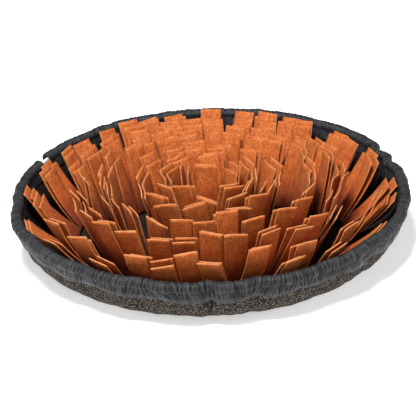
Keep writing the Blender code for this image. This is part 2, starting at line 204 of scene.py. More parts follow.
def wall(azimuths, share):
    """Radius and height of the underside's outer face, at shares from 0, the floor's edge, to 2, the top.

    Up to 1 it is the rounded foot, and from 1 to 2 the straight band under the rim. The folds draw the foot
    in by half their depth, and the band by all of it from a third of its way up.
    """
    radius, height = on_circle(RIM, azimuths)[:2]
    folded = fold_in(azimuths, min(1.0, share * 0.6 + 0.1) if share < 1.5 else 1.0)
    radius = radius - folded * (0.5 + 0.5 * min(1.0, max(0.0, (share - 1.0) / 0.35)))
    band = RIM_BAND * (2.0 - max(share, 1.0))
    foot_r = radius - RIM_BAND * math.cos(RIM_SLOPE)
    foot_z = height - RIM_BAND * math.sin(RIM_SLOPE)
    if share >= 1.0:
        return radius - band * math.cos(RIM_SLOPE), height - band * math.sin(RIM_SLOPE)
    t, s = share, 1.0 - share
    pull_r = foot_r - SHOULDER_REACH * math.cos(RIM_SLOPE)
    pull_z = foot_z - SHOULDER_REACH * math.sin(RIM_SLOPE)
    r = (FLOOR_RADIUS * s**3 + (FLOOR_RADIUS + FOOT_REACH) * 3 * s * s * t + pull_r * 3 * s * t * t
         + foot_r * t**3)
    z = pull_z * 3 * s * t * t + foot_z * t**3
    return r, z


def lattice(name, rings):
    """A mesh of four-sided faces between closed rings of points, with a pole before the first ring."""
    count = len(rings[0])
    points = np.concatenate(rings)
    faces = []
    for low in range(len(rings) - 1):
        for k in range(count):
            after = (k + 1) % count
            here = low * count
            faces.append((here + k, here + after, here + count + after, here + count + k))
    points = np.concatenate([points, [points[:count].mean(axis=0)]])
    faces += [(len(points) - 1, (k + 1) % count, k) for k in range(count)]
    mesh = bpy.data.meshes.new(name)
    mesh.from_pydata([tuple(point) for point in points], [], faces)
    mesh.shade_smooth()
    return mesh


def cut_plane(mesh, distances, azimuths):
    """A UV map in metres on the flat round cut, from each ring's distance along the cloth from the middle."""
    turned = np.radians(azimuths)
    flat = np.concatenate([np.stack([d * np.cos(turned), d * np.sin(turned)], axis=1) for d in distances])
    flat = np.concatenate([flat, [(0.0, 0.0)]])
    layer = mesh.uv_layers.new(name="cut")
    corners = np.zeros(len(mesh.loops), dtype=np.int32)
    mesh.loops.foreach_get("vertex_index", corners)
    layer.uv.foreach_set("vector", flat[corners].astype(np.float32).ravel())


def bowl_sheet(name, inset, floor_steps, wall_steps, bumps):
    """A bowl-shaped sheet whose outer face lies inset inside the underside's, with bumps(azimuths, up)."""
    azimuths = np.arange(COLUMNS) * 360.0 / COLUMNS
    turned = np.radians(azimuths)
    rings, distances = [], []
    travelled = np.zeros_like(azimuths)
    for step in range(1, floor_steps + 1):
        radius = FLOOR_RADIUS * step / floor_steps
        rings.append(np.stack([radius * np.cos(turned), radius * np.sin(turned),
                               np.full_like(turned, inset)], axis=1))
        travelled = travelled + FLOOR_RADIUS / floor_steps
        distances.append(travelled)
    last = wall(azimuths, 0.0)
    for step in range(1, wall_steps + 1):
        share = 2.0 * step / wall_steps
        here = wall(azimuths, share)
        just_below = wall(azimuths, max(0.0, share - 0.02))
        run, rise = here[0] - just_below[0], here[1] - just_below[1]
        long = np.hypot(run, rise)
        up = share / 2.0
        out = bumps(azimuths, up) - inset
        radius = here[0] + rise / long * out
        height = here[1] - run / long * out
        travelled = travelled + np.hypot(here[0] - last[0], here[1] - last[1])
        last = here
        rings.append(np.stack([radius * np.cos(turned), radius * np.sin(turned), height], axis=1))
        distances.append(travelled)
    mesh = lattice(name, rings)
    cut_plane(mesh, distances, azimuths)
    return mesh


def free_slack(up):
    """How much further the gathers may stand out below the part of the wall that the sleeve covers."""
    return FREE_SLACK * max(0.0, COVERED_FROM - up)


def underside_bumps(azimuths, up):
    """Gathers under the rim and uneven dents on the foot, pressed nearly flat where the sleeve covers it."""
    gathers = ripple(azimuths + 3.0 * up, (70, 120), 3) * 0.0006 * max(0.0, up - 0.35) / 0.65
    dents = ripple(azimuths, (18, 44), 5) * 0.0007 * math.sin(math.pi * min(1.0, up * 1.4))
    fine = ripple(azimuths + 14.0 * up, (52, 96), 6) * 0.0003 * math.sin(math.pi * up)
    out = gathers + dents + fine - 0.0006 * math.sin(math.pi * min(1.0, up * 1.6))
    return np.clip(out, -0.0004 - free_slack(up), 0.0001 + free_slack(up))


def weave(tree, pitch, wander):
    """Plain weave on the cut's plane: the threads' height, 0 to 1, and a random shade along each thread."""
    uv = add(tree, "ShaderNodeUVMap", uv_map="cut")
    crooked = add(tree, "ShaderNodeTexNoise", {
        "Vector": uv.outputs["UV"], "Scale": 0.3 / pitch, "Detail": 2.0})
    shift = add(tree, "ShaderNodeVectorMath", {0: crooked.outputs["Color"], 1: (wander, wander, 0.0)},
                operation="MULTIPLY")
    scaled = add(tree, "ShaderNodeVectorMath", {0: uv.outputs["UV"], "Scale": 1.0 / pitch}, operation="SCALE")
    threads = add(tree, "ShaderNodeVectorMath", {0: scaled.outputs[0], 1: shift.outputs[0]}, operation="ADD")
    over = add(tree, "ShaderNodeTexChecker", {"Vector": threads.outputs[0], "Scale": 1.0})
    axes = add(tree, "ShaderNodeSeparateXYZ", {"Vector": threads.outputs[0]})
    heights, shades = [], []
    for axis, stretch in (("X", (3.7, 0.42, 1.0)), ("Y", (0.42, 3.7, 1.0))):
        turn = add(tree, "ShaderNodeMath", {0: axes.outputs[axis], 1: math.pi}, operation="MULTIPLY")
        wave = add(tree, "ShaderNodeMath", {0: turn.outputs[0]}, operation="SINE")
        heights.append(add(tree, "ShaderNodeMath", {0: wave.outputs[0]}, operation="ABSOLUTE").outputs[0])
        whole = add(tree, "ShaderNodeVectorMath", {0: threads.outputs[0]}, operation="FLOOR")
        part = add(tree, "ShaderNodeSeparateXYZ", {"Vector": whole.outputs[0]})
        kept = {"X": axes.outputs["X"], "Y": axes.outputs["Y"]}
        kept[axis] = part.outputs[axis]
        joined = add(tree, "ShaderNodeCombineXYZ", kept)
        spread = add(tree, "ShaderNodeVectorMath", {0: joined.outputs[0], 1: stretch}, operation="MULTIPLY")
        shades.append(add(tree, "ShaderNodeTexNoise", {"Vector": spread.outputs[0], "Scale": 1.0,
                                                       "Detail": 1.0}).outputs["Fac"])
    mixed = []
    for first, second in (heights, shades):
        blend = add(tree, "ShaderNodeMix", {0: over.outputs["Fac"], 2: first, 3: second}, data_type="FLOAT")
        mixed.append(blend.outputs[0])
    return mixed


def ramp(tree, value, stops):
    """A colour ramp over a value, from (place, colour) stops."""
    made = add(tree, "ShaderNodeValToRGB", {"Fac": value})
    elements = made.color_ramp.elements
    while len(elements) < len(stops):
        elements.new(0.5)
    for element, (place, colour) in zip(elements, stops):
        element.position = place
        element.color = (*colour, 1.0)
    return made.outputs["Color"]


def bump(tree, shader, height, depth, strength=1.0):
    """Relief of a real depth in metres on a shader, laid over any relief that it has."""
    relief = add(tree, "ShaderNodeBump", {"Height": height, "Distance": depth, "Strength": strength})
    if shader.inputs["Normal"].links:
        tree.links.new(shader.inputs["Normal"].links[0].from_socket, relief.inputs["Normal"])
    tree.links.new(relief.outputs["Normal"], shader.inputs["Normal"])


melange, melange_tree, melange_shader = surface("melange_cloth", 0.92, Specular_IOR_Level=0.1)
melange_height, melange_shade = weave(melange_tree, 0.0011, 0.9)
melange_colour = ramp(melange_tree, melange_shade, [
    (0.37, (0.003, 0.0025, 0.002)), (0.46, (0.019, 0.015, 0.012)), (0.54, (0.052, 0.043, 0.036)),
    (0.64, (0.170, 0.144, 0.121)),
])
melange_tree.links.new(melange_colour, melange_shader.inputs["Base Color"])
bump(melange_tree, melange_shader, melange_height, 0.0005)

underside_mesh = bowl_sheet("underside_cloth", 0.0, 6, 34, underside_bumps)
underside_mesh.materials.append(melange)
underside = put("underside_cloth", underside_mesh)
thickness = underside.modifiers.new("thickness", "SOLIDIFY")
thickness.thickness = UNDERSIDE_THICK
thickness.offset = -1.0
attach(underside, "root")
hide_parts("underside")

# ---- The lining ----
# One round piece of plain black cloth, 1.1 mm thick, cut like the underside and laid inside it. The felt is
# sewn on it, and it shows in the gaps between the outer rings' strips.

LINING_INSET = 0.0023
LINING_THICK = 0.0011


def lining_bumps(azimuths, up):
    """Small gathers that follow the rim, pressed flat where the sleeve covers them, and slack lower down."""
    gathers = ripple(azimuths, (80, 140), 8) * 0.00025 * max(0.0, up - 0.4) / 0.6
    out = gathers - 0.00045 - 0.0006 * math.sin(math.pi * min(1.0, up * 1.6))
    return np.maximum(out, -0.0002 - free_slack(up))


lining_mesh = bowl_sheet("lining_cloth", LINING_INSET, 6, 24, lining_bumps)
black, black_tree, black_shader = surface("black_lining", 0.9, Specular_IOR_Level=0.08)
black_height, black_shade = weave(black_tree, 0.0007, 0.3)
black_colour = ramp(black_tree, black_shade, [(0.3, (0.009, 0.006, 0.005)), (0.7, (0.028, 0.021, 0.018))])
black_tree.links.new(black_colour, black_shader.inputs["Base Color"])
bump(black_tree, black_shader, black_height, 0.0002)
lining_mesh.materials.append(black)
lining = put("lining_cloth", lining_mesh)
lining_thickness = lining.modifiers.new("thickness", "SOLIDIFY")
lining_thickness.thickness = LINING_THICK
lining_thickness.offset = -1.0
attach(lining, "root")
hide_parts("lining")

# ---- The drawstring ----
# A light grey braided cord, 4.4 mm thick, that runs round inside the sleeve on the cloths' top edge. It shows
# only where the sleeve's two ends don't meet.

CORD_RADIUS = 0.0022
CORD_RISE = 0.0025
STACK_MIDDLE = 0.0019
BRAID_LAY = 0.0105
BRAID_STEP = 0.0011
BRAID_STRANDS = 8
STRAND_RADIUS = 0.00062
CORE_SHARE = 0.62

# Shares of a strand's radius: how far it goes over and under the others, and how deep it lies in the cord
STRAND_WEAVE = 0.45
STRAND_DEPTH = 1.4


def on_rim(azimuths, rise, depth):
    """Points at each azimuth, from how far they rise past the cloths' top edge and how far in they lie."""
    radius, height = wall(azimuths, 2.0)
    r = radius + math.cos(RIM_SLOPE) * rise - math.sin(RIM_SLOPE) * depth
    z = height + math.sin(RIM_SLOPE) * rise + math.cos(RIM_SLOPE) * depth
    turned = np.radians(azimuths)
    return np.stack([r * np.cos(turned), r * np.sin(turned), z], axis=1)


def path_object(name, points, closed):
    """A curve of one straight-sided spline through points, which a tree then follows."""
    curve = bpy.data.curves.new(name, "CURVE")
    curve.dimensions = "3D"
    spline = curve.splines.new("POLY")
    spline.points.add(len(points) - 1)
    for point, place in zip(spline.points, points):
        point.co = (*place, 1.0)
    spline.use_cyclic_u = closed
    return put(name, curve)


def new_tree(name, sockets):
    """A geometry tree with a geometry input, the named inputs and a geometry output."""
    tree = bpy.data.node_groups.new(name, "GeometryNodeTree")
    tree.interface.new_socket("Geometry", in_out="INPUT", socket_type="NodeSocketGeometry")
    for socket, kind in sockets.items():
        tree.interface.new_socket(socket, in_out="INPUT", socket_type=f"NodeSocket{kind}")
    tree.interface.new_socket("Geometry", in_out="OUTPUT", socket_type="NodeSocketGeometry")
    return tree, tree.nodes.new("NodeGroupInput").outputs


def end_tree(tree, geometry, material):
    """Ends a tree in real, painted geometry."""
    real = add(tree, "GeometryNodeRealizeInstances", {"Geometry": geometry})
    painted = add(tree, "GeometryNodeSetMaterial", {"Geometry": real.outputs[0], "Material": material})
    add(tree, "NodeGroupOutput", {"Geometry": painted.outputs[0]})


def math_node(tree, operation, first, second=0.0, third=0.0):
    """One step of arithmetic on fields or numbers."""
    return add(tree, "ShaderNodeMath", {0: first, 1: second, 2: third}, operation=operation).outputs[0]


def grown(base, name, tree, values):
    """The plain mesh that a tree makes from an object, which is then deleted."""
    maker = base.modifiers.new("maker", "NODES")
    maker.node_group = tree
    for socket in tree.interface.items_tree:
        if socket.in_out == "INPUT" and socket.name in values:
            maker[socket.identifier] = values[socket.name]
    seen = base.evaluated_get(bpy.context.evaluated_depsgraph_get())
    mesh = bpy.data.meshes.new_from_object(seen)
    mesh.name = name
    bpy.data.objects.remove(base)
    return put(name, mesh)


braid_tree, braid_in = new_tree("braid", {"Strands": "Int", "Cord Radius": "Float", "Strand Radius": "Float",
                                          "Lay": "Float", "Material": "Material"})
stepped = add(braid_tree, "GeometryNodeResampleCurve", {"Curve": braid_in["Geometry"], "Length": BRAID_STEP},
              mode="LENGTH")
copies = add(braid_tree, "GeometryNodeDuplicateElements", {"Geometry": stepped.outputs[0],
                                                           "Amount": braid_in["Strands"]}, domain="SPLINE")
number = copies.outputs["Duplicate Index"]
way = math_node(braid_tree, "MULTIPLY_ADD", math_node(braid_tree, "MODULO", number, 2.0), 2.0, -1.0)
place_in_ring = math_node(braid_tree, "FLOOR", math_node(braid_tree, "DIVIDE", number, 2.0))
ring_count = math_node(braid_tree, "DIVIDE", braid_in["Strands"], 2.0)
start = math_node(braid_tree, "DIVIDE", math_node(braid_tree, "MULTIPLY", place_in_ring, 2.0 * math.pi),
                  ring_count)
run = add(braid_tree, "GeometryNodeSplineParameter").outputs["Length"]
turns = math_node(braid_tree, "MULTIPLY", math_node(braid_tree, "DIVIDE", run, braid_in["Lay"]),
                  2.0 * math.pi)
angle = math_node(braid_tree, "MULTIPLY_ADD", turns, way, start)
over_under = math_node(braid_tree, "COSINE", math_node(braid_tree, "MULTIPLY", angle, ring_count))
lift = math_node(braid_tree, "MULTIPLY", math_node(braid_tree, "MULTIPLY", over_under, way),
                 math_node(braid_tree, "MULTIPLY", braid_in["Strand Radius"], STRAND_WEAVE))
strand_depth = math_node(braid_tree, "MULTIPLY", braid_in["Strand Radius"], STRAND_DEPTH)
mean_reach = math_node(braid_tree, "SUBTRACT", braid_in["Cord Radius"], strand_depth)
from_middle = math_node(braid_tree, "ADD", mean_reach, lift)
along = add(braid_tree, "GeometryNodeInputTangent").outputs[0]
side = add(braid_tree, "GeometryNodeInputNormal").outputs[0]
other_side = add(braid_tree, "ShaderNodeVectorMath", {0: along, 1: side},
                 operation="CROSS_PRODUCT").outputs[0]
offsets = []
for direction, wave in ((side, "COSINE"), (other_side, "SINE")):
    amount = math_node(braid_tree, "MULTIPLY", math_node(braid_tree, wave, angle), from_middle)
    offsets.append(add(braid_tree, "ShaderNodeVectorMath", {0: direction, "Scale": amount},
                       operation="SCALE").outputs[0])
offset = add(braid_tree, "ShaderNodeVectorMath", {0: offsets[0], 1: offsets[1]}, operation="ADD").outputs[0]
wound = add(braid_tree, "GeometryNodeSetPosition", {"Geometry": copies.outputs["Geometry"], "Offset": offset})
strand_section = add(braid_tree, "GeometryNodeCurvePrimitiveCircle", {"Resolution": 5,
                                                                      "Radius": braid_in["Strand Radius"]})
strands = add(braid_tree, "GeometryNodeCurveToMesh", {"Curve": wound.outputs[0],
                                                      "Profile Curve": strand_section.outputs[0]})
core_section = add(braid_tree, "GeometryNodeCurvePrimitiveCircle", {
    "Resolution": 8, "Radius": math_node(braid_tree, "MULTIPLY", braid_in["Cord Radius"], CORE_SHARE)})
core = add(braid_tree, "GeometryNodeCurveToMesh", {"Curve": stepped.outputs[0],
                                                   "Profile Curve": core_section.outputs[0]})
cord_parts = add(braid_tree, "GeometryNodeJoinGeometry")
for part in (strands, core):
    braid_tree.links.new(part.outputs[0], cord_parts.inputs[0])
smoothed = add(braid_tree, "GeometryNodeSetShadeSmooth", {0: cord_parts.outputs[0]})
end_tree(braid_tree, smoothed.outputs[0], braid_in["Material"])

yarn, yarn_tree, yarn_shader = surface("grey_yarn", 0.75, Sheen_Weight=0.2)
yarn_fibre = add(yarn_tree, "ShaderNodeTexNoise", {
    "Vector": add(yarn_tree, "ShaderNodeTexCoord").outputs["Object"], "Scale": 2200.0, "Detail": 3.0})
yarn_tree.links.new(ramp(yarn_tree, yarn_fibre.outputs["Fac"], [
    (0.3, (0.46, 0.45, 0.44)), (0.7, (0.76, 0.75, 0.73))]), yarn_shader.inputs["Base Color"])
bump(yarn_tree, yarn_shader, yarn_fibre.outputs["Fac"], 0.00012)

rim_azimuths = np.arange(720) * 0.5
cord_path = on_rim(rim_azimuths, CORD_RISE, STACK_MIDDLE)
cord_length = float(np.linalg.norm(np.roll(cord_path, -1, axis=0) - cord_path, axis=1).sum())
drawstring = grown(path_object("cord_path", cord_path, True), "drawstring_braid", braid_tree, {
    "Strands": BRAID_STRANDS, "Cord Radius": CORD_RADIUS, "Strand Radius": STRAND_RADIUS,
    "Lay": cord_length / round(cord_length / BRAID_LAY), "Material": yarn})
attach(drawstring, "root")
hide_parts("drawstring")

# ---- The rim's sleeve ----
# A strip of blue-grey nylon folded over the bowl's gathered edge, the drawstring inside its fold. One seam
# catches both legs. Above it the nylon is drawn into fine gathers, and below it the hem flares in scallops.

SLEEVE_THICK = 0.0009
SLEEVE_COLUMNS = 1980
MEAN_RADIUS = 0.2
GAP_MIDDLE = 154.4
GAP_WIDTH = 0.018
INNER_DROP = 0.0105
MEAN_REACH = 0.0140
SEAM_SHARE = 0.46
TUBE_RADIUS = 0.0047
TUBE_RISE = 0.0032
LEG_OUT = 0.0030
LEG_TOP = 0.0022
INNER_HEM = 0.004
CUT_LET_OUT = 1.7

# How far the nylon stands out in its gathers, sinks between them and is drawn in along the seam, swells at
# the gap and is pressed in by the felt, and the deepest that a crease may go
FINE_GATHER = 0.0026
BROAD_GATHER = 0.0012
GATHER_SINK = 0.0011
SEAM_PINCH = 0.0007
END_SWELL = 0.0016
SWELL_REACH = 0.014
PRESSED_IN = 0.0006
CREASE_FLOOR = 0.0006

# The section's steps: up the outer leg, over the tube and down the inner leg. The seam lies at one of them,
# and the felt presses from another on, over so many steps.
OUTER_STEPS = 12
TUBE_STEPS = 12
INNER_STEPS = 9
SEAM_STEP = 7
TOP_STEP = OUTER_STEPS + 1 + TUBE_STEPS // 2
PRESSED_FROM = 18
PRESSED_OVER = 4.5

SCALLOPS = [
    # azimuth of each dip in the hem's edge, how far it rises there, how far the hem stands out after it
    (8.0, 0.0020, 0.0010), (17.0, 0.0030, 0.0013), (38.0, 0.0022, 0.0012), (66.0, 0.0025, 0.0010),
    (95.0, 0.0020, 0.0014), (124.0, 0.0026, 0.0010), (146.0, 0.0018, 0.0012), (172.0, 0.0026, 0.0012),
    (196.0, 0.0020, 0.0014), (218.0, 0.0034, 0.0012), (235.0, 0.0030, 0.0016), (255.0, 0.0030, 0.0014),
    (270.0, 0.0012, 0.0018), (281.0, 0.0036, 0.0016), (295.0, 0.0020, 0.0014), (309.5, 0.0034, 0.0016),
    (322.5, 0.0030, 0.0012), (343.0, 0.0024, 0.0012),
]


def scallop(azimuths):
    """The hem's rise and flare round the rim, each scallop a bow between two dips."""
    dips = np.array([row[0] for row in SCALLOPS])
    turned = azimuths % 360.0
    before = (np.searchsorted(dips, turned, side="right") - 1) % len(dips)
    after = (before + 1) % len(dips)
    wide = (dips[after] - dips[before]) % 360.0
    share = ((turned - dips[before]) % 360.0) / wide
    bow = np.sin(np.pi * share) ** 0.8
    rises = np.array([row[1] for row in SCALLOPS])
    flares = np.array([row[2] for row in SCALLOPS])
    rise = (rises[before] * (1.0 - share) + rises[after] * share) * (1.0 - bow)
    return rise - 0.0008 * bow, flares[before] * bow


def creased(lengths, seed, narrowest, widest, from_seam):
    """Cloth between sharp creases along the rim, 1 between them and down to 0 in one.

    Each crease starts at a seam and dies out at its own share of the way from there to the rim's top.
    """
    dice = np.random.default_rng(seed)
    count = int((float(lengths.max()) + 0.2) / narrowest) + 2
    creases = np.cumsum(dice.uniform(narrowest, widest, count)) - 0.1
    depths = dice.uniform(0.3, 1.0, count)
    reaches = dice.uniform(0.7, 2.6, count)
    place = np.interp(lengths, creases, np.arange(count))
    nearest = np.rint(place).astype(int)
    near = 1.0 - 2.0 * np.abs(place - nearest)
    fade = np.clip((reaches[nearest] - from_seam) / 0.35, 0.0, 1.0)
    return 1.0 - near ** 1.5 * depths[nearest] * fade


def sleeve_path():
    """The sleeve's outer face in (rise, depth), from the outer hem over the tube to the inner hem."""
    meet = math.acos(LEG_OUT / TUBE_RADIUS)
    section = [(-MEAN_REACH + (MEAN_REACH - LEG_TOP) * k / OUTER_STEPS, STACK_MIDDLE - LEG_OUT)
               for k in range(OUTER_STEPS + 1)]
    for k in range(TUBE_STEPS + 1):
        angle = -meet + (math.pi + 2.0 * meet) * k / TUBE_STEPS
        section.append((TUBE_RISE + TUBE_RADIUS * math.sin(angle),
                        STACK_MIDDLE - TUBE_RADIUS * math.cos(angle)))
    section += [(-INNER_DROP * k / INNER_STEPS, STACK_MIDDLE + LEG_OUT) for k in range(1, INNER_STEPS + 1)]
    return np.array(section)


def facing_out(k):
    """The direction that the sleeve's outer face looks in at a step of its path, in (rise, depth)."""
    tangent = path[min(k + 1, len(path) - 1)] - path[max(k - 1, 0)]
    tangent = tangent / np.linalg.norm(tangent)
    return np.array([tangent[1], -tangent[0]])


half_gap = math.degrees(GAP_WIDTH / 2.0 / MEAN_RADIUS)
sleeve_azimuths = np.linspace(GAP_MIDDLE + half_gap, GAP_MIDDLE - half_gap + 360.0, SLEEVE_COLUMNS)
rim_length = np.radians(sleeve_azimuths) * MEAN_RADIUS
hem_rise, hem_flare = scallop(sleeve_azimuths)
hem_reach = on_circle(RIM, sleeve_azimuths)[2]
path = sleeve_path()
run_along = np.concatenate([[0.0], np.cumsum(np.linalg.norm(np.diff(path, axis=0), axis=1))])
slant = 0.35 * ripple(sleeve_azimuths, (5, 17), 21) + 0.25 * ripple(sleeve_azimuths, (30, 60), 22)
from_end = np.minimum(rim_length - rim_length[0], rim_length[-1] - rim_length)
end_swell = np.exp(-(from_end / SWELL_REACH) ** 2) * np.where(rim_length < rim_length.mean(), 1.0, 0.25)
bulges = 0.0006 * ripple(sleeve_azimuths, (26, 62), 25)

outer_seam, inner_seam = run_along[SEAM_STEP], run_along[-1] - INNER_HEM
tube_top = run_along[TOP_STEP]

outer_rings, ridge_heights, drawn_shares = [], [], []
for k, (rise, depth) in enumerate(path):
    normal = facing_out(k)
    on_outer = rise < 0.0005 and depth < STACK_MIDDLE
    on_inner = rise < 0.0005 and depth > STACK_MIDDLE
    down = -rise / MEAN_REACH if on_outer and rise < 0.0 else 0.0
    below_seam = max(0.0, (down - SEAM_SHARE) / (1.0 - SEAM_SHARE))
    pressed = 1.0 if on_inner else min(1.0, max(0.0, (k - PRESSED_FROM) / PRESSED_OVER))
    gathered = 1.0 - 0.88 * below_seam ** 0.7 if on_outer else 0.95 - 0.60 * pressed
    top = max(0.0, min(1.0, (rise - 0.004) / 0.004))
    gathered *= 1.0 - 0.55 * top
    pinch = math.exp(-((down - SEAM_SHARE) / 0.11) ** 2) * SEAM_PINCH if on_outer else 0.0
    shifted = rim_length + slant * (run_along[k] - 0.018)
    nearer_seam = outer_seam if run_along[k] < tube_top else inner_seam
    from_seam = (run_along[k] - nearer_seam) / (tube_top - nearer_seam)
    fine = creased(shifted, 31, 0.0024, 0.0050, from_seam)
    broad = creased(shifted + 0.3 * (run_along[k] - 0.02), 32, 0.0070, 0.0170, from_seam - 0.3)
    # Painted shade and light: these ridge heights later darken the nylon's colour in the creases and lighten
    # it on the ridges.
    ridge_heights.append(1.0 - gathered * (1.0 - fine * (0.5 + 0.5 * broad)))
    drawn_shares.append(gathered)
    ridges = (fine * FINE_GATHER + broad * BROAD_GATHER) * gathered
    out = ridges - GATHER_SINK * gathered - PRESSED_IN * pressed - pinch
    out = out + below_seam * (hem_flare + 0.0003) + 0.0002
    out = out + bulges * (0.5 + 0.5 * gathered) * (1.0 - pressed) + end_swell * END_SWELL * (1.0 - pressed)
    out = np.maximum(out, -CREASE_FLOOR)
    lift = hem_rise * down ** 2 + (MEAN_REACH - hem_reach) * down
    outer_rings.append((rise + normal[0] * out + lift, depth + normal[1] * out))

# The inner face has fewer steps, close together where the legs meet the tube. Its first one moves with the
# outer hem's edge.
inner_steps = [0, 4, 8, 12, 13, 14, 16, 18, 21, 24, 25, 26, 30, 34]
sleeve_rings = [on_rim(sleeve_azimuths, rise, depth) for rise, depth in outer_rings]
for k in reversed(inner_steps):
    inner_rise, inner_depth = path[k] - facing_out(k) * SLEEVE_THICK
    if k == 0:
        inner_rise = inner_rise + (outer_rings[0][0] - path[0][0])
        inner_depth = inner_depth + (outer_rings[0][1] - path[0][1])
    sleeve_rings.append(on_rim(sleeve_azimuths, inner_rise, inner_depth))


def sleeve_mesh():
    """The sleeve's closed body: its section runs round each column, and its two ends are capped."""
    points = np.stack(sleeve_rings, axis=1).reshape(-1, 3)
    around = len(sleeve_rings)
    faces = []
    for column in range(SLEEVE_COLUMNS - 1):
        here, after = column * around, (column + 1) * around
        for k in range(around):
            following = (k + 1) % around
            faces.append((here + k, here + following, after + following, after + k))
    last = (SLEEVE_COLUMNS - 1) * around
    outer = len(path)
    inner = len(inner_steps)
    for base in (0, last):
        pairs = [(base + inner_steps[j], base + outer + inner - 1 - j) for j in range(inner)]
        for (low_out, low_in), (high_out, high_in) in zip(pairs, pairs[1:]):
            edge = list(range(low_out, high_out + 1)) + [high_in, low_in]
            faces.append(tuple(edge) if base == 0 else tuple(reversed(edge)))
    mesh = bpy.data.meshes.new("rim_sleeve_nylon")
    mesh.from_pydata([tuple(point) for point in points], [], faces)
    work = bmesh.new()
    work.from_mesh(mesh)
    bmesh.ops.recalc_face_normals(work, faces=work.faces)
    work.to_mesh(mesh)
    work.free()
    mesh.shade_smooth()
    mesh.set_sharp_from_angle(angle=math.radians(60.0))
    layer = mesh.uv_layers.new(name="cut")
    runs = np.concatenate([run_along, run_along[inner_steps][::-1]])
    flat = np.stack([np.repeat(rim_length * CUT_LET_OUT, around), np.tile(runs, SLEEVE_COLUMNS)], axis=1)
    corners = np.zeros(len(mesh.loops), dtype=np.int32)
    mesh.loops.foreach_get("vertex_index", corners)
    layer.uv.foreach_set("vector", flat[corners].astype(np.float32).ravel())
    heights = np.stack(ridge_heights + [np.zeros_like(rim_length)] * inner, axis=1)
    shares = np.tile(drawn_shares + [0.0] * inner, SLEEVE_COLUMNS)
    for name, values in (("ridge", heights), ("drawn", shares)):
        stored = mesh.attributes.new(name, "FLOAT", "POINT")
        stored.data.foreach_set("value", values.astype(np.float32).ravel())
    return mesh


nylon, nylon_tree, nylon_shader = surface("blue_grey_nylon", 0.42, Specular_IOR_Level=0.3)
nylon_height = weave(nylon_tree, 0.0005, 0.2)[0]
nylon_uv = add(nylon_tree, "ShaderNodeUVMap", uv_map="cut")
stretched = add(nylon_tree, "ShaderNodeVectorMath", {0: nylon_uv.outputs["UV"], 1: (760.0, 100.0, 1.0)},
                operation="MULTIPLY")
crinkle = add(nylon_tree, "ShaderNodeTexNoise", {"Vector": stretched.outputs[0], "Scale": 1.0, "Detail": 4.0,
                                                 "Distortion": 0.6})
ridge, drawn_in = (add(nylon_tree, "ShaderNodeAttribute", attribute_name=name).outputs["Fac"]
                   for name in ("ridge", "drawn"))
lines = math_node(nylon_tree, "MULTIPLY", math_node(nylon_tree, "SUBTRACT", crinkle.outputs["Fac"], 0.5),
                  drawn_in)
# Painted shade and light: the nylon's colour is darkened in the creases and along the fine crinkle lines, and
# lightened on the ridges, on top of their bumps.
crease_shade_ridge_light = math_node(nylon_tree, "MULTIPLY_ADD", lines, 3.2, ridge)
nylon_tree.links.new(ramp(nylon_tree, crease_shade_ridge_light, [
    (0.42, (0.0003, 0.0003, 0.0004)), (0.74, (0.0065, 0.0066, 0.0074)), (1.0, (0.0290, 0.0302, 0.0340))]),
    nylon_shader.inputs["Base Color"])
bump(nylon_tree, nylon_shader, lines, 0.0020)
bump(nylon_tree, nylon_shader, nylon_height, 0.00006)

sleeve_body = sleeve_mesh()
sleeve_body.materials.append(nylon)
sleeve = put("rim_sleeve_nylon", sleeve_body)
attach(sleeve, "root")
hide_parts("rim_sleeve")

# ---- The sleeve's stitches ----
# A row of dark thread that catches the sleeve's two legs to the cloths, just above its hem. Each stitch is a
# small oval bead, half sunk in the nylon and laid along the seam.

STITCH_PITCH = 0.0032
STITCH_LENGTH = 0.0022
STITCH_THICK = 0.00045
STITCH_PROUD = 0.00005
STITCH_STEP = 8

stitch_tree, stitch_in = new_tree("stitches", {"Pitch": "Float", "Length": "Float", "Thickness": "Float",
                                               "Seed": "Int", "Material": "Material"})
seam_points = add(stitch_tree, "GeometryNodeResampleCurve", {"Curve": stitch_in["Geometry"],
                                                             "Length": stitch_in["Pitch"]}, mode="LENGTH")
seam_tangent = add(stitch_tree, "GeometryNodeInputTangent").outputs[0]
seam_turn = add(stitch_tree, "FunctionNodeAlignRotationToVector", {"Vector": seam_tangent}, axis="X")
bead = add(stitch_tree, "GeometryNodeMeshUVSphere", {"Segments": 6, "Rings": 5, "Radius": 0.5})
bead_size = add(stitch_tree, "ShaderNodeCombineXYZ", {"X": stitch_in["Length"], "Y": stitch_in["Thickness"],
                                                      "Z": stitch_in["Thickness"]})
uneven = add(stitch_tree, "FunctionNodeRandomValue", {2: 0.85, 3: 1.1, "Seed": stitch_in["Seed"]},
             data_type="FLOAT")
scaled_bead = add(stitch_tree, "ShaderNodeVectorMath", {0: bead_size.outputs[0], "Scale": uneven.outputs[1]},
                  operation="SCALE")
laid = add(stitch_tree, "GeometryNodeInstanceOnPoints", {
    "Points": seam_points.outputs[0], "Instance": bead.outputs[0], "Rotation": seam_turn.outputs[0],
    "Scale": scaled_bead.outputs[0]})
end_tree(stitch_tree, laid.outputs[0], stitch_in["Material"])

thread, thread_tree, thread_shader = surface("dark_thread", 0.6)
thread_twist = add(thread_tree, "ShaderNodeTexNoise", {
    "Vector": add(thread_tree, "ShaderNodeTexCoord").outputs["Object"], "Scale": 3000.0})
thread_tree.links.new(ramp(thread_tree, thread_twist.outputs["Fac"], [
    (0.3, (0.020, 0.022, 0.026)), (0.7, (0.060, 0.064, 0.072))]), thread_shader.inputs["Base Color"])

# Every second column of the sleeve, short of its two ends
seam_rise, seam_depth = outer_rings[STITCH_STEP]
seam_line = on_rim(sleeve_azimuths, seam_rise, seam_depth - STITCH_PROUD)[6:-6:2]
stitches = grown(path_object("seam", seam_line, False), "sleeve_stitches", stitch_tree, {
    "Pitch": STITCH_PITCH, "Length": STITCH_LENGTH, "Thickness": STITCH_THICK, "Seed": 4, "Material": thread})
stitches.data.shade_smooth()
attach(stitches, "root")
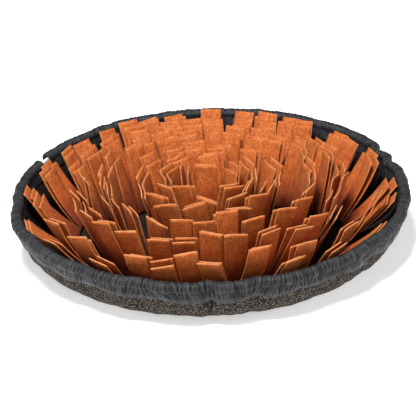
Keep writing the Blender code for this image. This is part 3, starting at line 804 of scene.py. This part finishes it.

# ---- The felt ----
# Six rings of orange felt, 1.1 mm thick. Each is a long band folded in two along its foot and sewn on the
# lining. Both its layers are slit into strips that stand up, lean and curl, and their cut edges are painted
# paler, a painted highlight for the light that they catch.

FELT_THICK = 0.0011
LAYERS_APART = 0.0040
BAND_TOP = 0.0091
BAND_FOOT = 0.0041
FOLD_STEPS = 6
STRIP_COLUMNS = 8
STRIP_LEVELS = 22
MERGE_WITHIN = 1e-5

# How far each ring's strips cup across and ripple along, least in the outermost, which lies by the sleeve
CURLS = [(0.0012, 0.0014)] * 5 + [(0.0004, 0.0005)]
CUT_WANDER = 0.0003


def strips_of(node_name):
    """Each strip of a felt node as (azimuth, radius, middles, acrosses), read from its solid's sections.

    Each section's corners are sorted, so that every run adds them up in the same order.
    """
    work = bmesh.new()
    work.from_mesh(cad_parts[node_name].data)
    bmesh.ops.remove_doubles(work, verts=work.verts, dist=MERGE_WITHIN)
    low = [face for face in work.faces if max(vert.co.z for vert in face.verts) < BAND_TOP + MERGE_WITHIN]
    bmesh.ops.delete(work, geom=low, context="FACES")
    bmesh.ops.delete(work, geom=[vert for vert in work.verts if not vert.link_faces], context="VERTS")
    left = set(work.verts)
    found = []
    while left:
        level = {left.pop()}
        group = set(level)
        while level:
            level = {edge.other_vert(vert) for vert in level for edge in vert.link_edges} - group
            group |= level
        left -= group
        level = {vert for vert in group if vert.co.z < BAND_TOP + MERGE_WITHIN}
        done, sections = set(), []
        while level:
            sections.append(sorted((vert.co.copy() for vert in level), key=tuple))
            done |= level
            level = {edge.other_vert(vert) for vert in level for edge in vert.link_edges} - done
        middles = [sum(section, Vector()) / 4.0 for section in sections]
        azimuth = math.atan2(middles[0].y, middles[0].x)
        side = Vector((-math.sin(azimuth), math.cos(azimuth), 0.0))
        acrosses = []
        for section, middle in zip(sections, middles):
            right = sorted(section, key=lambda corner: (corner - middle).dot(side))[2:]
            across = (right[0] + right[1]) / 2.0 - middle
            acrosses.append(across)
            side = across.normalized()
        found.append((azimuth, middles[0].xy.length, middles, acrosses))
    work.free()
    return found


def spline_at(points, share):
    """A point on a smooth curve through evenly spaced points."""
    place = share * (len(points) - 1)
    k = min(int(place), len(points) - 2)
    t = place - k
    before = points[k - 1] if k > 0 else points[0] * 2.0 - points[1]
    after = points[k + 2] if k + 2 < len(points) else points[-1] * 2.0 - points[-2]
    a, b = points[k], points[k + 1]
    return (a * 2.0 + (b - before) * t + (before * 2.0 - a * 5.0 + b * 4.0 - after) * t * t
            + (a * 3.0 - before - b * 3.0 + after) * t * t * t) * 0.5


def comb(name, found):
    """A folded band with its strips as one sheet.

    Each point keeps its share along its strip, its share across, its pair's number and its layer's side.
    """
    radii = sorted(strip[1] for strip in found)
    split = (radii[0] + radii[-1]) / 2.0
    layers = [sorted((strip for strip in found if (strip[1] > split) == outer), key=lambda strip: strip[0])
              for outer in (False, True)]
    count = len(layers[0])
    half = math.pi / count
    mesh = bmesh.new()
    along = mesh.verts.layers.float.new("along")
    across_name = mesh.verts.layers.float.new("across")
    pair_name = mesh.verts.layers.float.new("pair")
    facing_name = mesh.verts.layers.float.new("facing")

    def vert(place, values):
        made = mesh.verts.new(place)
        made[along], made[across_name], made[pair_name], made[facing_name] = values
        return made

    fold = []
    for step in range(FOLD_STEPS + 1):
        angle = math.pi * step / FOLD_STEPS
        fold.append((0.5 - 0.5 * math.cos(angle), BAND_FOOT + FELT_THICK / 2.0
                     + LAYERS_APART / 2.0 * (1.0 - math.sin(angle))))
    lows = [[], []]
    for layer, strips in enumerate(layers):
        for number, (azimuth, radius, middles, acrosses) in enumerate(strips):
            grid = []
            for level in range(STRIP_LEVELS + 1):
                share = level / STRIP_LEVELS
                middle, across = spline_at(middles, share), acrosses[0].lerp(acrosses[-1], share)
                grid.append([vert(middle + across * (2.0 * c / STRIP_COLUMNS - 1.0),
                                  (share, 2.0 * c / STRIP_COLUMNS - 1.0, number + 0.5, 2.0 * layer - 1.0))
                             for c in range(STRIP_COLUMNS + 1)])
            for low, high in zip(grid, grid[1:]):
                for c in range(STRIP_COLUMNS):
                    mesh.faces.new((low[c], low[c + 1], high[c + 1], high[c]))
            lows[layer].append((grid[0], azimuth, radius))
    rings = []
    for layer in (0, 1):
        ring = []
        for grid, azimuth, radius in lows[layer]:
            corner = radius / math.cos(half)
            ring.append(vert((corner * math.cos(azimuth - half), corner * math.sin(azimuth - half), BAND_TOP),
                             (0.0, 0.0, 0.0, 0.0)))
            ring += grid
        rings.append(ring)
    columns = len(rings[0])
    sheets = [rings[0]]
    for inward, height in fold:
        sheets.append([vert(((1.0 - inward) * low.co.x + inward * high.co.x,
                             (1.0 - inward) * low.co.y + inward * high.co.y, height), (0.0, 0.0, 0.0, 0.0))
                       for low, high in zip(rings[0], rings[1])])
    sheets.append(rings[1])
    for low, high in zip(sheets, sheets[1:]):
        for k in range(columns):
            after = (k + 1) % columns
            mesh.faces.new((low[k], low[after], high[after], high[k]))
    bmesh.ops.recalc_face_normals(mesh, faces=mesh.faces)
    data = bpy.data.meshes.new(name)
    mesh.to_mesh(data)
    mesh.free()
    return put(name, data)


curl_tree, curl_in = new_tree("felt_curl", {"Cupping": "Float", "Ripple": "Float", "Cut Wander": "Float",
                                            "Seed": "Int", "Material": "Material"})


def named(tree, name):
    """A point's own stored number."""
    return add(tree, "GeometryNodeInputNamedAttribute", {"Name": name}, data_type="FLOAT").outputs[0]


def drawn(tree, low, high, number, seed):
    """A random number for each pair of strips."""
    made = add(tree, "FunctionNodeRandomValue", {2: low, 3: high, "ID": number, "Seed": seed},
               data_type="FLOAT")
    return made.outputs[1]


point_along, point_across, point_pair, point_facing = (
    named(curl_tree, name) for name in ("along", "across", "pair", "facing"))
pair_cup = drawn(curl_tree, -1.0, 1.0, point_pair, curl_in["Seed"])
bow = math_node(curl_tree, "SUBTRACT", math_node(curl_tree, "MULTIPLY", point_across, point_across), 0.34)
cup = math_node(curl_tree, "MULTIPLY", math_node(curl_tree, "MULTIPLY", bow, pair_cup), curl_in["Cupping"])
place = add(curl_tree, "GeometryNodeInputPosition").outputs[0]
wave_noise = add(curl_tree, "ShaderNodeTexNoise", {
    "Vector": place, "W": point_pair, "Scale": 26.0, "Detail": 1.0}, noise_dimensions="4D")
wave_height = math_node(curl_tree, "MULTIPLY",
                        math_node(curl_tree, "SUBTRACT", wave_noise.outputs["Fac"], 0.5), curl_in["Ripple"])
felt_normal = add(curl_tree, "GeometryNodeInputNormal").outputs[0]
bend = math_node(curl_tree, "MULTIPLY", math_node(curl_tree, "ADD", cup, wave_height),
                 math_node(curl_tree, "MULTIPLY", point_along, point_facing))
pushed = add(curl_tree, "ShaderNodeVectorMath", {0: felt_normal, "Scale": bend}, operation="SCALE").outputs[0]
nick = add(curl_tree, "ShaderNodeTexNoise", {"Vector": place, "W": point_pair, "Scale": 240.0},
           noise_dimensions="4D")
nick_shift = add(curl_tree, "ShaderNodeVectorMath", {0: nick.outputs["Color"], 1: (0.5, 0.5, 0.5)},
                 operation="SUBTRACT")
at_edge = math_node(curl_tree, "POWER", math_node(curl_tree, "ABSOLUTE", point_across), 6.0)
nicked = add(curl_tree, "ShaderNodeVectorMath", {
    0: nick_shift.outputs[0], "Scale": math_node(curl_tree, "MULTIPLY", at_edge, curl_in["Cut Wander"])},
    operation="SCALE").outputs[0]
moved = add(curl_tree, "ShaderNodeVectorMath", {0: pushed, 1: nicked}, operation="ADD").outputs[0]
curled = add(curl_tree, "GeometryNodeSetPosition", {"Geometry": curl_in["Geometry"], "Offset": moved})
curled_smooth = add(curl_tree, "GeometryNodeSetShadeSmooth", {0: curled.outputs[0]})
end_tree(curl_tree, curled_smooth.outputs[0], curl_in["Material"])


def felt_material(name, dark, plain, light):
    """Pressed felt: a cloudy dye, mottled by short crossed fibres, with painted shade down at the strips'
    feet and a painted highlight at their tips.
    """
    material, tree, shader = surface(name, 0.68, Specular_IOR_Level=0.34, Sheen_Weight=0.04,
                                     Sheen_Roughness=0.55)
    shader.inputs["Sheen Tint"].default_value = (1.0, 0.62, 0.42, 1.0)
    place = add(tree, "ShaderNodeTexCoord").outputs["Object"]
    cloud = add(tree, "ShaderNodeTexNoise", {"Vector": place, "Scale": 110.0, "Detail": 2.0})
    mottle = add(tree, "ShaderNodeTexNoise", {
        "Vector": place, "Scale": 620.0, "Detail": 2.0, "Roughness": 0.6, "Distortion": 0.8})
    fibre = add(tree, "ShaderNodeTexNoise", {
        "Vector": place, "Scale": 1800.0, "Detail": 3.0, "Roughness": 0.7, "Distortion": 1.2})
    grain = add(tree, "ShaderNodeMix", {0: 0.4, 2: mottle.outputs["Fac"], 3: fibre.outputs["Fac"]},
                data_type="FLOAT")
    mixed = add(tree, "ShaderNodeMix", {0: 0.82, 2: cloud.outputs["Fac"], 3: grain.outputs[0]},
                data_type="FLOAT")
    dye = ramp(tree, mixed.outputs[0], [(0.40, dark), (0.5, plain), (0.61, light)])
    # Painted shade and light: each strip's colour is darkened towards its foot, where shade falls between the
    # strips, and paled towards its tip, where the lamps light it.
    height = add(tree, "ShaderNodeAttribute", attribute_name="along").outputs["Fac"]
    depth = ramp(tree, height, [
        (0.0, (0.26, 0.10, 0.045)), (0.28, (0.55, 0.41, 0.33)), (0.6, (1.02, 0.95, 0.88)),
        (0.95, (0.96, 1.04, 1.15))])
    shaded = add(tree, "ShaderNodeMix", {0: 1.0, 6: dye, 7: depth}, data_type="RGBA", blend_type="MULTIPLY")
    tree.links.new(shaded.outputs[2], shader.inputs["Base Color"])
    bump(tree, shader, grain.outputs[0], 0.0007)
    return material


felt = felt_material("orange_felt", (0.250, 0.032, 0.003), (0.430, 0.085, 0.009), (0.585, 0.180, 0.035))
# Painted highlight: the cut edges' paler dye stands in for the light that they catch.
felt_edge_highlight = felt_material("cut_felt_edge_highlight", (0.400, 0.112, 0.028), (0.500, 0.172, 0.050),
                          (0.600, 0.250, 0.090))

for number, (cupping, rippling) in enumerate(CURLS, start=1):
    node_name = f"felt_row_{number}"
    flat_comb = comb("comb", strips_of(node_name))
    row = grown(flat_comb, f"felt_comb_{number}", curl_tree, {
        "Cupping": cupping, "Ripple": rippling, "Cut Wander": CUT_WANDER, "Seed": number, "Material": felt})
    row.data.materials.append(felt_edge_highlight)
    felt_thickness = row.modifiers.new("thickness", "SOLIDIFY")
    felt_thickness.thickness = FELT_THICK
    felt_thickness.offset = 0.0
    felt_thickness.material_offset_rim = 1
    felt_thickness.use_even_offset = True
    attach(row, "root")
    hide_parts(node_name)
